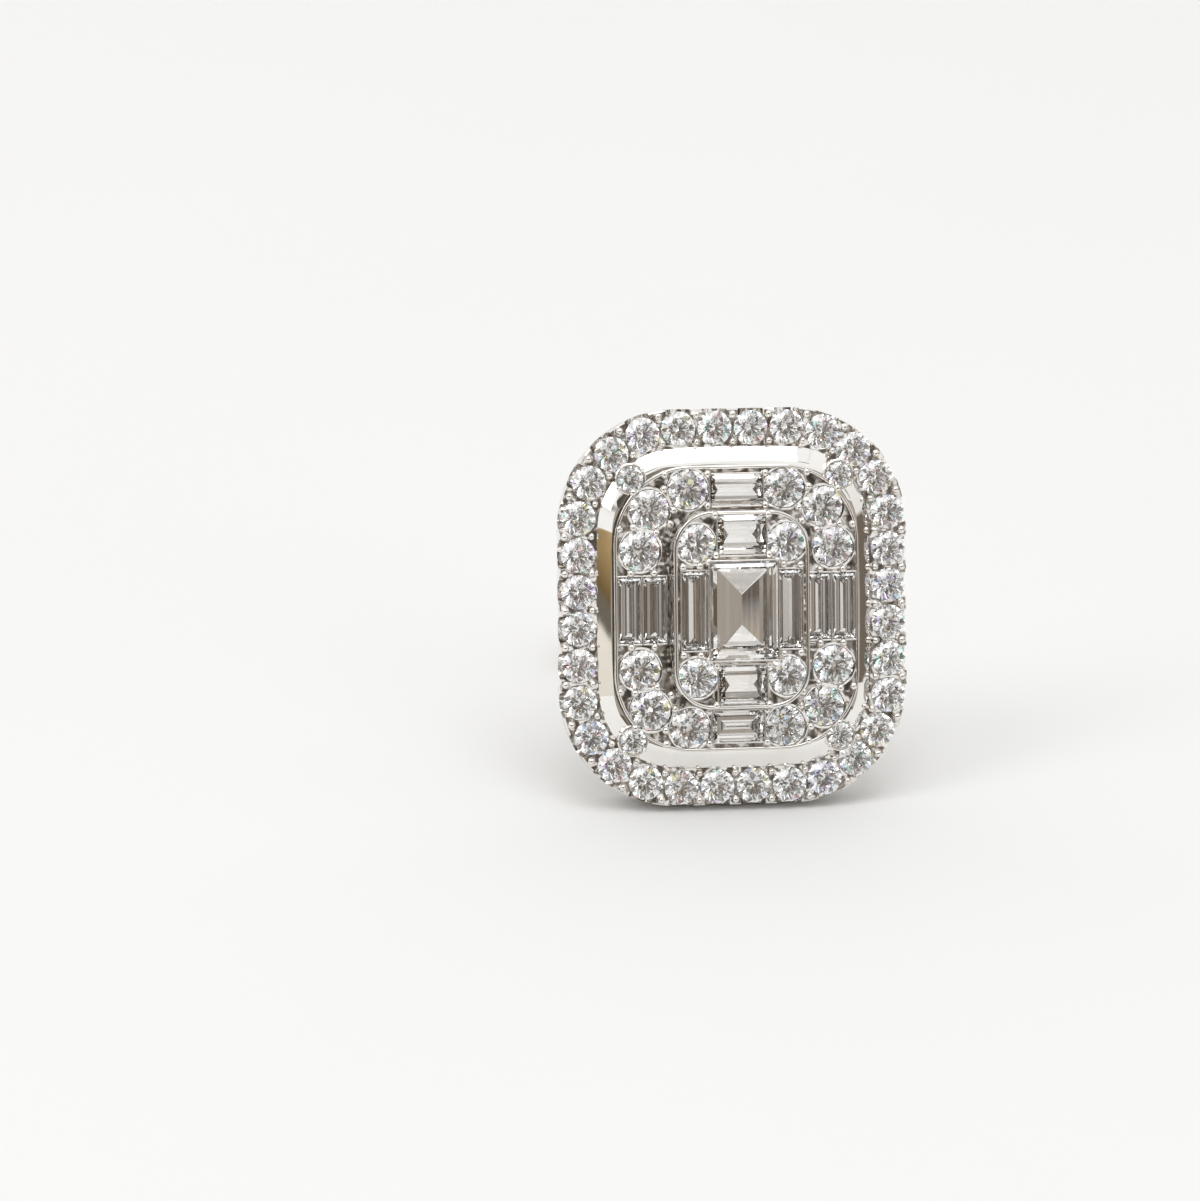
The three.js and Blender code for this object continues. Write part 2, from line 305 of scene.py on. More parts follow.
    @classmethod
    def wire(cls, name: str, plan: Plan, thick: float, low: float, high: float) -> bpy.types.Object:
        """A rounded rim that follows an outline on its inside.

        Args:
            name: the new object's name.
            plan: the rim's outer outline.
            thick: how wide the rim is, seen from above.
            low: the level of its underside.
            high: the level of its top.

        Returns:
            The new object.
        """
        piece = cls.block(name, plan, low, high)
        with cls.editing(piece):
            cls.pick(piece, Part.FACE, lambda f: abs(f.normal.z) > 0.9)
            bpy.ops.mesh.inset(thickness=thick, use_even_offset=True)
            bpy.ops.mesh.delete(type="FACE")
            cls.pick(piece, Part.EDGE, lambda e: e.is_boundary)
            bpy.ops.mesh.bridge_edge_loops()
            cls.pick(piece, Part.EDGE, lambda e: cls.is_rim(e, high))
            bpy.ops.mesh.bevel(offset=0.38 * thick, segments=3, profile=0.5, affect="EDGES")
        return piece

    @classmethod
    def is_rim(cls, edge: bmesh.types.BMEdge, level: float) -> bool:
        """Whether an edge lies on one level between a flat face and a wall."""
        if any(abs(v.co.z - level) > cls.CLOSE for v in edge.verts):
            return False
        return len(edge.link_faces) == 2 and edge.calc_face_angle(0) > 0.9

    @staticmethod
    def carve(piece: bpy.types.Object, cutter: bpy.types.Object) -> None:
        """Cuts a cutter out of a piece and throws the cutter away."""
        cut = piece.modifiers.new("seats", "BOOLEAN")
        cut.operation, cut.solver, cut.object, cut.use_self = "DIFFERENCE", "EXACT", cutter, True
        Bench.only(piece)
        bpy.ops.object.modifier_apply(modifier=cut.name)
        bpy.data.objects.remove(cutter)

    @staticmethod
    def copy(model: bpy.types.Object, name: str, at: Matrix) -> bpy.types.Object:
        """A copy of a model with a mesh of its own, put at a place."""
        piece = model.copy()
        piece.data = model.data.copy()
        piece.name = piece.data.name = name
        bpy.context.scene.collection.objects.link(piece)
        piece.data.transform(at)
        return piece

    @staticmethod
    def joined(name: str, pieces: Sequence[bpy.types.Object]) -> bpy.types.Object:
        """Several pieces made one object."""
        Bench.only(*pieces)
        bpy.ops.object.join()
        piece = bpy.context.object
        piece.name = piece.data.name = name
        return piece

    @staticmethod
    def scrap(*models: bpy.types.Object) -> None:
        """Throws away models that were only there to be copied."""
        for model in models:
            bpy.data.objects.remove(model)

    @classmethod
    def turned(cls, name: str, profile: Sequence[Point], steps: int = 64) -> bpy.types.Object:
        """A shape turned round the Z axis, as on a lathe.

        Args:
            name: the new object's name.
            profile: radius and level of each corner, from one end to the other.
            steps: how many sides it gets.

        Returns:
            The new object.
        """
        bpy.ops.object.select_all(action="DESELECT")
        first = (profile[0][0], 0, profile[0][1])
        bpy.ops.mesh.primitive_plane_add(size=1, location=first)
        piece = cls.named(name)
        with cls.editing(piece):
            bpy.ops.mesh.select_mode(type="VERT")
            bpy.ops.mesh.select_all(action="SELECT")
            bpy.ops.mesh.merge(type="CENTER")
            for (r0, z0), (r1, z1) in zip(profile, profile[1:]):
                step = {"value": (r1 - r0, 0, z1 - z0)}
                bpy.ops.mesh.extrude_vertices_move(TRANSFORM_OT_translate=step)
            bpy.ops.mesh.select_all(action="SELECT")
            bpy.ops.mesh.spin(steps=steps, angle=2 * math.pi, center=(0, 0, 0), axis=(0, 0, 1))
            bpy.ops.mesh.select_all(action="SELECT")
            bpy.ops.mesh.remove_doubles(threshold=cls.CLOSE)
            bpy.ops.mesh.normals_make_consistent(inside=False)
        return piece

    @staticmethod
    def soften(piece: bpy.types.Object, degrees: float = 32.0) -> None:
        """Shades a metal piece smooth, except across sharper edges."""
        Bench.only(piece)
        bpy.ops.object.shade_smooth_by_angle(angle=math.radians(degrees))


# ---- Materials ----------------------------------------------------------------------


class Wire:
    """A number in a node tree. Python's operators on it add Math nodes."""

    def __init__(self, graph: "Graph", socket: bpy.types.NodeSocket) -> None:
        """Wraps a socket of one of a graph's nodes."""
        self.graph = graph
        self.socket = socket

    def _math(self, operation: str, first: object, second: object, clamp: bool = False) -> "Wire":
        """The result of a Math node on two values."""
        settings = {"operation": operation, "use_clamp": clamp}
        node = self.graph.add("ShaderNodeMath", settings, {0: first, 1: second})
        return Wire(self.graph, node.outputs[0])

    def __add__(self, other: object) -> "Wire":
        """This plus other."""
        return self._math("ADD", self, other)

    __radd__ = __add__

    def __mul__(self, other: object) -> "Wire":
        """This times other."""
        return self._math("MULTIPLY", self, other)

    __rmul__ = __mul__

    def __sub__(self, other: object) -> "Wire":
        """This less other."""
        return self._math("SUBTRACT", self, other)

    def __rsub__(self, other: object) -> "Wire":
        """Other less this."""
        return self._math("SUBTRACT", other, self)

    def between(self, low: float, high: float) -> "Wire":
        """0 up to low, 1 from high on, and evenly in between."""
        return self._math("DIVIDE", self - low, high - low, clamp=True)


class Graph:
    """A node tree under construction."""

    def __init__(self, tree: bpy.types.NodeTree) -> None:
        """Empties the tree."""
        self.tree = tree
        self.tree.nodes.clear()

    def add(self, kind: str, settings: dict | None = None, inputs: dict | None = None) -> bpy.types.Node:
        """Adds a node.

        Args:
            kind: the node's type.
            settings: its own settings, set first; stops gives a ramp's places and colours.
            inputs: what each socket holds, a value, a Wire or a socket.

        Returns:
            The new node.
        """
        node = self.tree.nodes.new(kind)
        for key, value in (settings or {}).items():
            if key == "stops":
                self._stops(node.color_ramp, value)
            else:
                setattr(node, key, value)
        for key, value in (inputs or {}).items():
            source = value.socket if isinstance(value, Wire) else value
            if isinstance(source, bpy.types.NodeSocket):
                self.tree.links.new(source, node.inputs[key])
            else:
                node.inputs[key].default_value = source
        return node

    @staticmethod
    def _stops(ramp: bpy.types.ColorRamp, stops: Stops) -> None:
        """Gives a ramp its places and colours."""
        while len(ramp.elements) < len(stops):
            ramp.elements.new(1.0)
        for element, (place, colour) in zip(ramp.elements, stops):
            element.position = place
            element.color = colour

    def noise(self, where: bpy.types.NodeSocket, scale: float, detail: float = 2.0) -> Wire:
        """Noise with so many features a unit."""
        node = self.add("ShaderNodeTexNoise", None, {"Vector": where, "Scale": scale, "Detail": detail})
        return Wire(self, node.outputs["Fac"])

    def ramp(self, place: object, stops: Stops, sharp: bool = False) -> bpy.types.NodeSocket:
        """A colour that follows a value through stops, in steps where sharp."""
        node = self.add("ShaderNodeValToRGB", {"stops": stops}, {"Fac": place})
        node.color_ramp.interpolation = "CONSTANT" if sharp else "LINEAR"
        return node.outputs["Color"]

    def mixed(self, share: object, first: object, second: object) -> bpy.types.NodeSocket:
        """Two colours mixed."""
        inputs = {0: share, 6: first, 7: second}
        return self.add("ShaderNodeMix", {"data_type": "RGBA"}, inputs).outputs[2]


class Recipe(Graph):
    """A material under construction."""

    def __init__(self, name: str) -> None:
        """Starts a material with an empty node tree."""
        self.material = bpy.data.materials.new(name)
        self.material.use_nodes = True
        super().__init__(self.material.node_tree)

    def millimetres(self, stretch: tuple[float, float, float] = (1, 1, 1)) -> bpy.types.NodeSocket:
        """Object coordinates in millimetres, stretched along the axes."""
        coordinates = self.add("ShaderNodeTexCoord").outputs["Object"]
        scale = tuple(s / MM for s in stretch)
        return self.add("ShaderNodeMapping", None, {"Vector": coordinates, "Scale": scale}).outputs[0]

    def finish(self, inputs: dict) -> bpy.types.Material:
        """Ends the material with a Principled shader that has these inputs."""
        shader = self.add("ShaderNodeBsdfPrincipled", None, inputs)
        self.add("ShaderNodeOutputMaterial", None, {"Surface": shader.outputs[0]})
        return self.material


@dataclass(frozen=True)
class MetalFinish:
    """Polished white gold: slight clouding, fine polishing lines and a soft uneven gloss. Where the cloud
    colour is dark, the clouds are painted shade.
    """

    name: str
    colour: Colour
    # The clouds' colour: a slight change of tone on most finishes, painted shade on the tiers' dark one.
    cloud_and_shade: Colour
    roughness: float
    haze: float
    lines: float
    # How deep the graver's marks are, in millimetres.
    marks: float = 0.0
    # How many of the clouds there are in a millimetre.
    clouding: float = 1.3

    def make(self) -> bpy.types.Material:
        """The material."""
        recipe = Recipe(self.name)
        where = recipe.millimetres()
        cloud_and_shade_mask = recipe.noise(where, self.clouding, 3.0).between(0.3, 0.7)
        haze = recipe.noise(where, 5.0, 4.0)
        lines = recipe.noise(recipe.millimetres((3.0, 38.0, 38.0)), 1.0, 3.0)
        pits = recipe.noise(where, 30.0, 2.0)
        cuts = recipe.noise(where, 3.2, 0.5)
        height = (lines * 0.7 + pits * 0.3) * self.lines + cuts * self.marks
        inputs = {"Height": height, "Strength": 1.0, "Distance": MM}
        bump = recipe.add("ShaderNodeBump", None, inputs)
        return recipe.finish(
            {
                "Base Color": recipe.mixed(cloud_and_shade_mask, self.colour, self.cloud_and_shade),
                "Metallic": 1.0,
                "Roughness": self.roughness + haze * self.haze,
                "Normal": bump.outputs[0],
            }
        )


@dataclass(frozen=True)
class GemFinish:
    """A clear stone: full transmission at diamond's index, with a little painted fire facet by facet: colour
    tints that stand in for dispersed light.
    """

    name: str
    tint: Colour
    smoke: Colour
    index: float = 2.417

    ATTRIBUTE = "facet"
    # Painted fire: the tints that stand in for the colours of dispersed light.
    PAINTED_FIRE = (
        (0.45, 0.62, 1.0, 1),
        (0.66, 0.5, 1.0, 1),
        (0.5, 0.95, 0.88, 1),
        (1.0, 0.9, 0.42, 1),
        (1.0, 0.6, 0.62, 1),
    )
    # The share of the values below which a facet shows no painted fire.
    CALM = 0.6

    def make(self) -> bpy.types.Material:
        """The material."""
        recipe = Recipe(self.name)
        facet = recipe.add("ShaderNodeAttribute", {"attribute_name": self.ATTRIBUTE}).outputs["Fac"]
        step = (1 - self.CALM) / len(self.PAINTED_FIRE)
        fire = tuple((self.CALM + k * step, colour) for k, colour in enumerate(self.PAINTED_FIRE))
        stops = ((0.0, self.tint), (self.CALM / 2, self.smoke)) + fire
        return recipe.finish(
            {
                "Base Color": recipe.ramp(facet, stops, sharp=True),
                "Roughness": 0.0,
                "IOR": self.index,
                "Transmission Weight": 1.0,
            }
        )


@dataclass(frozen=True)
class PaperFinish:
    """The pale floor: matt paper with a very faint mottle."""

    name: str
    colour: Colour
    shade: Colour

    def make(self) -> bpy.types.Material:
        """The material."""
        recipe = Recipe(self.name)
        mottle = recipe.noise(recipe.millimetres(), 0.05, 3.0)
        return recipe.finish({"Base Color": recipe.mixed(mottle, self.colour, self.shade), "Roughness": 0.9})


@dataclass(frozen=True)
class Finishes:
    """Every finish, made once."""

    gold: bpy.types.Material
    mirror_gold: bpy.types.Material
    cut_gold: bpy.types.Material
    deep_gold: bpy.types.Material
    back: bpy.types.Material
    round_gem: bpy.types.Material
    pave_gem: bpy.types.Material
    step_gem: bpy.types.Material
    paper: bpy.types.Material

    @classmethod
    def make(cls) -> "Finishes":
        """All the materials."""
        bright, dim = (0.9, 0.88, 0.85, 1), (0.86, 0.83, 0.79, 1)
        polished = MetalFinish("polished_gold", bright, (0.82, 0.79, 0.75, 1), 0.06, 0.07, 0.0003)
        light, mist = (0.93, 0.91, 0.88, 1), (0.88, 0.86, 0.82, 1)
        mirror = MetalFinish("mirror_gold", light, mist, 0.015, 0.03, 0.0001)
        cut = MetalFinish("cut_gold", bright, (0.8, 0.77, 0.73, 1), 0.08, 0.1, 0.0006, 0.12)
        # The tiers' gold: its dark clouds are painted shade, standing in for the shade between the cluster's
        # stones.
        deep = MetalFinish("deep_gold", dim, (0.3, 0.28, 0.26, 1), 0.1, 0.12, 0.0006, 0.12, 3.0)
        plain = MetalFinish("back_gold", dim, (0.76, 0.73, 0.69, 1), 0.14, 0.12, 0.0008)
        icy, grey = (0.97, 0.975, 0.98, 1), (0.9, 0.91, 0.92, 1)
        warm = GemFinish("step_diamond", (0.99, 0.975, 0.96, 1), (0.95, 0.925, 0.9, 1))
        paper = PaperFinish("white_paper", (0.815, 0.815, 0.807, 1), (0.8, 0.8, 0.79, 1))
        return cls(
            gold=polished.make(),
            mirror_gold=mirror.make(),
            cut_gold=cut.make(),
            deep_gold=deep.make(),
            back=plain.make(),
            round_gem=GemFinish("round_diamond", icy, grey).make(),
            pave_gem=GemFinish("pave_diamond", icy, grey).make(),
            step_gem=warm.make(),
            paper=paper.make(),
        )


# ---- Stones -------------------------------------------------------------------------


def dressed(
    piece: bpy.types.Object, face: Face, material: bpy.types.Material, nodes: Sequence[str]
) -> bpy.types.Object:
    """Finishes a piece: its material, its place in the row's frame, and what it stands for.

    Args:
        piece: the piece, in the earring's own frame.
        face: the earring's own frame.
        material: its material.
        nodes: the CAD nodes that it stands for.

    Returns:
        The piece.
    """
    piece.data.materials.clear()
    piece.data.materials.append(material)
    face.place(piece)
    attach(piece, BODY)
    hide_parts(*nodes)
    log.info("%s: %d faces for %s", piece.name, len(piece.data.polygons), ", ".join(nodes))
    return piece


def facet_values(stone: bpy.types.Object, draw: random.Random, fire: float) -> None:
    """Gives each facet of a stone a number of its own, which its material reads.

    Args:
        stone: the stone, in the earring's own frame.
        draw: where the chance comes from.
        fire: the share of the small facets that get painted fire, a tint that stands in for dispersed light.
            The large ones get none.
    """
    small = 0.2
    values = stone.data.attributes.new(GemFinish.ATTRIBUTE, "FLOAT", "FACE")
    largest = max(p.area for p in stone.data.polygons)
    for item, polygon in zip(values.data, stone.data.polygons):
        painted_fire_facet = polygon.area < small * largest and draw.random() < fire
        item.value = draw.uniform(GemFinish.CALM, 1) if painted_fire_facet else draw.uniform(0, GemFinish.CALM)


@dataclass(frozen=True)
class Facet:
    """A flat that is ground on a stone: a plane by a point on it and its outward normal."""

    point: Vector
    normal: Vector

    @classmethod
    def sloped(cls, turn: float, reach: float, level: float, slope: float) -> "Facet":
        """A facet that faces a direction.

        Args:
            turn: the direction that it faces, in degrees round the stone's axis.
            reach: how far out the point on it is.
            level: the level of that point.
            slope: its slope from the girdle plane in degrees, negative below the girdle.

        Returns:
            The facet.
        """
        steep = math.radians(abs(slope))
        rise = math.copysign(math.cos(steep), slope)
        way = Vector((math.cos(math.radians(turn)), math.sin(math.radians(turn)), 0))
        return cls(way * reach + Vector((0, 0, level)), way * math.sin(steep) + Vector((0, 0, rise)))


def grind(rough: bpy.types.Object, facets: Sequence[Facet]) -> None:
    """Grinds each facet on a rough stone: bisects it and closes the cut."""
    with Bench.editing(rough):
        for facet in facets:
            bpy.ops.mesh.select_all(action="SELECT")
            bpy.ops.mesh.bisect(
                plane_co=facet.point,
                plane_no=facet.normal,
                use_fill=True,
                clear_outer=True,
                threshold=1e-5,
            )


@dataclass(frozen=True)
class BrilliantCut:
    """A round brilliant one millimetre across, its girdle's upper edge at level 0."""

    sides: int = 8
    table: float = 0.56
    crown_slope: float = 34.5
    star_slope: float = 21.0
    upper_slope: float = 41.0
    main_slope: float = 40.9
    lower_slope: float = 42.1
    girdle: float = 0.03

    @property
    def crown(self) -> float:
        """How high the table is above the girdle."""
        return 0.5 * (1 - self.table) * math.tan(math.radians(self.crown_slope))

    def facets(self) -> list[Facet]:
        """All the facets, in the order that they are ground."""
        step = 360 / self.sides
        chord = 0.5 * math.cos(math.radians(step / 4))
        star_reach = 0.5 * self.table * math.cos(math.radians(step / 2))
        cuts = [Facet(Vector((0, 0, self.crown)), Vector((0, 0, 1)))]
        for k in range(self.sides):
            turn = step * k
            cuts.append(Facet.sloped(turn, 0.5, 0.0, self.crown_slope))
            cuts.append(Facet.sloped(turn, 0.5, -self.girdle, -self.main_slope))
            cuts.append(Facet.sloped(turn + step / 2, star_reach, self.crown, self.star_slope))
            for side in (-step / 4, step / 4):
                cuts.append(Facet.sloped(turn + side, chord, 0.0, self.upper_slope))
                cuts.append(Facet.sloped(turn + side, chord, -self.girdle, -self.lower_slope))
        return cuts

    def model(self) -> bpy.types.Object:
        """A stone to copy."""
        bpy.ops.object.select_all(action="DESELECT")
        bpy.ops.mesh.primitive_cylinder_add(vertices=16, radius=0.5, depth=1.4, location=(0, 0, -0.2))
        stone = Bench.named("brilliant_model")
        grind(stone, self.facets())
        return stone


@dataclass(frozen=True)
class StepCut:
    """A step-cut stone on a rectangle, in millimetres, its girdle's upper edge at level 0.

    Each step is the share of the narrow side that it takes up, and its slope in degrees.
    """

    width: float
    height: float
    crown_steps: tuple[Point, ...] = ((0.05, 46.0), (0.1, 33.0))
    pavilion_steps: tuple[Point, ...] = ((0.1, 52.0), (0.2, 43.0), (0.2, 36.0))
    girdle: float = 0.035
    # The slope of the pavilion's one facet at either end, or none where the ends have steps too.
    ends: float | None = None

    @property
    def narrow(self) -> float:
        """The narrow side."""
        return min(self.width, self.height)

    @property
    def crown(self) -> float:
        """How high the table is above the girdle."""
        return sum(share * self.narrow * math.tan(math.radians(slope)) for share, slope in self.crown_steps)

    def sides(self) -> list[Point]:
        """Which way each side faces, in degrees, and how far it is from the middle."""
        across, along = self.width / 2, self.height / 2
        return [(0, across), (180, across), (90, along), (270, along)]

    def facets(self) -> list[Facet]:
        """All the facets, in the order that they are ground."""
        cuts = [Facet(Vector((0, 0, self.crown)), Vector((0, 0, 1)))]
        below = -self.girdle * self.narrow
        for steps, start, sign in ((self.crown_steps, 0.0, 1), (self.pavilion_steps, below, -1)):
            inwards, level = 0.0, start
            for share, slope in steps:
                for turn, half in self.sides():
                    tilt = slope
                    if self.ends and sign < 0 and half > self.narrow / 2:
                        if inwards:
                            continue
                        tilt = self.ends
                    cuts.append(Facet.sloped(turn, half - inwards, level, sign * tilt))
                inwards += share * self.narrow
                level += sign * share * self.narrow * math.tan(math.radians(slope))
        return cuts

    def model(self, name: str) -> bpy.types.Object:
        """The stone."""
        bpy.ops.object.select_all(action="DESELECT")
        size = (self.width, self.height, 3 * self.narrow)
        bpy.ops.mesh.primitive_cube_add(size=1, scale=size)
        stone = Bench.named(name)
        grind(stone, self.facets())
        return stone


@dataclass(frozen=True)
class Style:
    """How a step cut is ground."""

    crown: tuple[Point, ...] = ((0.05, 46.0), (0.09, 33.0))
    pavilion: tuple[Point, ...] = ((0.1, 52.0), (0.2, 43.0), (0.2, 36.0))
    ends: float | None = None


# The styles of the stones whose node's name starts with a word.
STYLES = {
    "centre": Style(((0.03, 44.0), (0.05, 30.0)), ((0.04, 50.0), (0.46, 42.6))),
    "flank_left": Style(pavilion=((0.1, 50.0), (0.4, 41.0))),
    "flank_right": Style(pavilion=((0.14, 52.0), (0.36, 41.4))),
    "bar_upper_outer": Style(pavilion=((0.05, 47.0), (0.45, 42.0)), ends=62.0),
    "bar_upper_inner": Style(pavilion=((0.12, 47.0), (0.38, 42.0)), ends=62.0),
    "bar_lower_inner": Style(pavilion=((0.2, 45.0), (0.3, 41.5)), ends=62.0),
    "bar_lower_outer": Style(pavilion=((0.12, 50.0), (0.18, 43.0), (0.2, 39.0))),
}


@dataclass
class Stones:
    """All the stones: the raised step cut, the baguettes, the brilliants and the paved halo."""

    face: Face
    finishes: Finishes
    cut: BrilliantCut = field(default_factory=BrilliantCut)
    clearance: float = 0.012
    # How far below its CAD node's top a stone's table lies.
    sunk: float = 0.01
    # The most that a brilliant and a step cut lean, in degrees.
    tilt: float = 2.2
    step_tilt: float = 0.8
    # The share of small facets with painted fire: tints that stand in for dispersed light.
    fire: float = 0.16
    pave_count: int = 32
    pave_size: float = 0.98
    pave_inset: float = 0.53
    pave_level: float = 0.02
    draw: random.Random = field(default_factory=lambda: random.Random(SEED))

    def round_nodes(self) -> list[str]:
        """The CAD nodes of the brilliants."""
        return sorted(n for n in frame["nodes"] if "round" in n or n.startswith("bridge"))

    def step_nodes(self) -> list[str]:
        """The CAD nodes of the step cuts."""
        return sorted(n for n in frame["nodes"] if n.startswith(("centre", "flank", "side", "bar")))

    def shape_of(self, node: str) -> tuple[Vector, Vector]:
        """A stone's middle, at its table's level, and its size, from its CAD node."""
        low, high = self.face.extent(node)
        middle = (low + high) / 2
        return Vector((middle.x, middle.y, high.z)), high - low

    def seated(self, model: bpy.types.Object, name: str, at: Vector, size: float) -> bpy.types.Object:
        """A copy of the brilliant, turned and tilted a little at random.

        Args:
            model: the brilliant to copy.
            name: the new stone's name.
            at: where the middle of its girdle is.
            size: its diameter.

        Returns:
            The new stone.
        """
        lean = [math.radians(self.draw.uniform(-self.tilt, self.tilt)) for _ in range(2)]
        spin = Euler((*lean, self.draw.uniform(0, math.tau))).to_matrix().to_4x4()
        stone = Bench.copy(model, name, Matrix.Translation(at) @ spin @ Matrix.Scale(size, 4))
        facet_values(stone, self.draw, self.fire)
        return stone

    def rounds(self, model: bpy.types.Object) -> None:
        """The brilliants of the cluster and of the bridges, each for its CAD node."""
        for node in self.round_nodes():
            at, size = self.shape_of(node)
            across = size.x - 2 * self.clearance
            girdle = Vector((at.x, at.y, at.z - self.cut.crown * across - self.sunk))
            stone = self.seated(model, f"gem_{node}", girdle, across)
            dressed(stone, self.face, self.finishes.round_gem, [node])

    def steps(self) -> None:
        """The step cuts, each for its CAD node."""
        for node in self.step_nodes():
            at, size = self.shape_of(node)
            width, height = size.x - 2 * self.clearance, size.y - 2 * self.clearance
            style = next((STYLES[key] for key in STYLES if node.startswith(key)), Style())
            cut = StepCut(width, height, style.crown, style.pavilion, ends=style.ends)
            stone = cut.model(f"gem_{node}")
            lean = [math.radians(self.draw.uniform(-self.step_tilt, self.step_tilt)) for _ in range(2)]
            girdle = Vector((at.x, at.y, at.z - cut.crown - self.sunk))
            leaning = Euler((*lean, 0.0)).to_matrix().to_4x4()
            stone.data.transform(Matrix.Translation(girdle) @ leaning)
            facet_values(stone, self.draw, 0.0)
            dressed(stone, self.face, self.finishes.step_gem, [node])

    def pave_places(self, plan: Plan) -> list[tuple[float, float, float]]:
        """Where the halo's stones sit: X, Y and the direction outwards."""
        line = plan.inset(self.pave_inset)
        return [line.walk((k + 0.5) / self.pave_count) for k in range(self.pave_count)]

    def pave(self, model: bpy.types.Object, plan: Plan) -> None:
        """The halo's brilliants, one object."""
        stones = [
            self.seated(model, f"pave_{k}", Vector((x, y, self.pave_level)), self.pave_size)
            for k, (x, y, _) in enumerate(self.pave_places(plan))
        ]
        halo = Bench.joined("gem_halo", stones)
        dressed(halo, self.face, self.finishes.pave_gem, ["halo_pave"])

    def build(self, plan: Plan) -> None:
        """All the stones.

        Args:
            plan: the halo's outline.
        """
        model = self.cut.model()
        self.rounds(model)
        self.steps()
        self.pave(model, plan)
        Bench.scrap(model)


# ---- The setting --------------------------------------------------------------------


@dataclass
class Setting:
    """The soldered metal: halo frame, skirt, tiers, collets, lips, prongs, beads and bridges."""

    face: Face
    finishes: Finishes
    stones: Stones
    # The halo frame.
    corner: float = 3.35
    shoulder: float = -0.35
    back: float = -1.2
    back_inset: float = 0.2
    back_bevel: float = 0.06
    band: float = 1.07
    edge: float = 0.035
    groove: float = -0.05
    recess_rim: float = 0.85
    recess: float = 0.6
    arch: float = 0.36
    # The tiers, their hidden root, and the rims along their edges.
    outer_level: float = 0.42
    inner_level: float = 1.08
    outer: Plan = Plan(7.04, 8.06, 2.2)
    inner: Plan = Plan(3.86, 5.55, 1.1)
    root: float = -0.3
    inner_root: float = 0.3
    outer_inset: float = 0.04
    inner_flare: float = 0.05
    outer_wire: float = 0.09
    inner_wire: float = 0.11
    wire_flare: float = 0.015
    # The inner tier's steps, and how far its rim and the outer one reach below and above the metal.
    INNER_STEPS = ((0.05, 0.58), (0.03, 0.08))
    INNER_RIM = (0.15, 0.07)
    OUTER_RIM = (0.12, 0.05)
    # The hollow in the skirt, hidden by the outer tier.
    SKIRT_HOLLOW = ((0.12, 0.0), (0, -0.5))
    # The least room round a step cut, and how thick its collet is.
    step_room: float = 0.002
    collet: float = 0.045
    collet_room: float = 0.07
    collet_depth: float = 0.25
    # The lip round a brilliant one millimetre across: its middle line and its thickness.
    lip: Point = (0.53, 0.035)
    # The prongs' and beads' radii and stems, and the corner bridges' cups.
    prong: Point = (0.115, 0.3)
    bead: Point = (0.1, 0.16)
    bridge_bead: Point = (0.07, 0.2)
    cup: float = 0.45
    cup_reach: float = 0.41
    # How far off the line between two brilliants their shared prongs stand, and how high.
    shared: Point = (0.33, 0.16)
    # The halo's beads: how far off the line of its stones, and how big. Their tops' level.
    HALO_BEADS = ((0.38, 1.1), (-0.38, 0.95))
    BEAD_LEVEL = 0.14
    # Where the rings of a bead's head lie, in radians up from its foot.
    DOME = (0.0, 0.4, 0.8, 1.15, 1.42)
    # Prongs of one quarter of the face: X, Y and how high they stand over their tier.
    OUTER_PRONGS = (
        (0.83, 3.8, 0.17), (0.83, 2.9, 0.17), (3.05, 1.04, 0.16), (2.38, 1.04, 0.16),
        (1.9, 2.42, 0.1), (2.94, 3.32, 0.08), (2.04, 3.8, 0.1), (3.36, 2.3, 0.08),
    )
    INNER_PRONGS = (
        (0.76, 2.68, 0.17), (0.76, 1.56, 0.26), (0.98, 1.38, 0.3), (1.68, 1.24, 0.16), (1.2, 1.26, 0.14),
    )
    # The skirt: how far its sides bow out, its foot's level, and the gap round it in the groove.
    skirt_bow: float = 0.06
    skirt_foot: float = -0.01
    skirt_gap: float = 0.03
    # The skirt's profile from its foot up: how far in and how far up each step goes.
    skirt: tuple[Point, ...] = ((0.1, 0.074), (0.1, 0.073), (0.09, 0.064), (0.08, 0.056))
    # How much nearer each of those steps comes above and below than it does at the sides.
    skirt_draw: float = 0.9935
    # The halo's faces that face the front less than this aren't engraved.
    upright: float = 0.2

    def __post_init__(self) -> None:
        """Takes the halo's outline from the CAD node."""
        low, high = self.face.extent("setting")
        self.plan = Plan(high.x - low.x, high.y - low.y, self.corner)

    def metal(self, piece: bpy.types.Object, finish: bpy.types.Material | None = None) -> None:
        """Dresses a piece of the setting, in polished gold unless another finish is given."""
        Bench.soften(piece)
        dressed(piece, self.face, finish or self.finishes.gold, ["setting"])

    def round_cutter(self) -> bpy.types.Object:
        """The seat of a brilliant one millimetre across: a shaft above a cone."""
        gap = 0.5 + self.stones.clearance
        bpy.ops.object.select_all(action="DESELECT")
        bpy.ops.mesh.primitive_cylinder_add(vertices=32, radius=gap, depth=1.5, location=(0, 0, 0.7))
        cutter = Bench.named("round_cutter")
        point, depth = 0.05, 0.42
        Bench.terrace(cutter, False, [(gap - point, depth)])
        return cutter

    def arch_cutter(self) -> bpy.types.Object:
        """The arch that is cut into the halo's outer wall under a stone, for one facing X."""
        bpy.ops.object.select_all(action="DESELECT")
        middle = (self.stones.pave_inset + 0.05, 0, -0.03)
        turn = (0, math.pi / 2, 0)
        bpy.ops.mesh.primitive_cylinder_add(
            vertices=28, radius=self.arch, depth=0.5, location=middle, rotation=turn
        )
        return Bench.named("arch_cutter")

    def round_seats(self, cutter: bpy.types.Object, nodes: Sequence[str]) -> list[bpy.types.Object]:
        """Seats for the brilliants of some CAD nodes."""
        seats = []
        for node in nodes:
            at, size = self.stones.shape_of(node)
            girdle = Vector((at.x, at.y, at.z - self.stones.cut.crown * size.x))
            seats.append(Bench.copy(cutter, "seat", Matrix.Translation(girdle) @ Matrix.Scale(size.x, 4)))
        return seats

